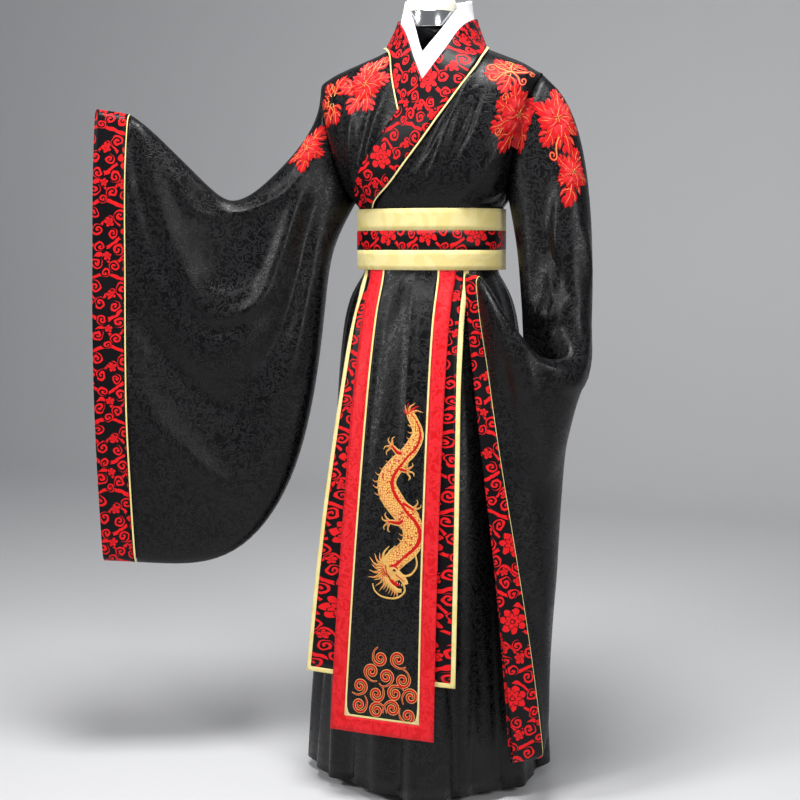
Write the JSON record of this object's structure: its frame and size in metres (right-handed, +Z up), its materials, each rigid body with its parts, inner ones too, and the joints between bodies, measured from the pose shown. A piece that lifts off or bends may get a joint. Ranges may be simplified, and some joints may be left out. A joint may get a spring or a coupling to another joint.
{
  "type": "hanfu robe on a dress form",
  "caption": "Wide-sleeved crossed-collar hanfu robe with belt, hanging front panels and white inner collar, worn by a limbless dress form on a pole and round base.",
  "frame": {"origin": "centre of the dress form's round base, on the floor", "axes": "+Z up the pole, -Y the way the robe faces, +X the wearer's left"},
  "size_m": [1.0269, 0.5334, 1.613],
  "materials": {
    "black_satin": "black satin jacquard with a woven cloud pattern",
    "red_brocade": "red scroll and blossom brocade on black",
    "red_satin": "red satin jacquard",
    "cream_satin": "smooth cream satin",
    "white_cotton": "plain white cotton",
    "form_cover": "matt black jersey cover",
    "base_paint": "satin black paint",
    "chrome": "polished chrome",
    "ivory_cap": "ivory satin plastic"
  },
  "bodies": {
    "root": {"back": "black_satin", "front_left": "black_satin", "front_right": "black_satin", "sleeve_left": "black_satin", "sleeve_right": "black_satin", "cuff_left": "red_brocade", "cuff_right": "red_brocade", "cuff_piping_left": "cream_satin", "cuff_piping_right": "cream_satin", "collar": "red_brocade", "collar_piping": "cream_satin", "inner_collar": "white_cotton", "belt_lower": "cream_satin", "belt_band": "red_brocade", "belt_upper": "cream_satin", "under_panel": "red_brocade", "under_panel_binding": "cream_satin", "front_panel": "black_satin", "front_panel_border": "red_satin", "front_panel_piping": "cream_satin", "form_torso": "form_cover", "form_neck_ring": "chrome", "form_neck_cap": "ivory_cap", "form_pole": "chrome", "form_base": "base_paint"}
  },
  "joints": []
}
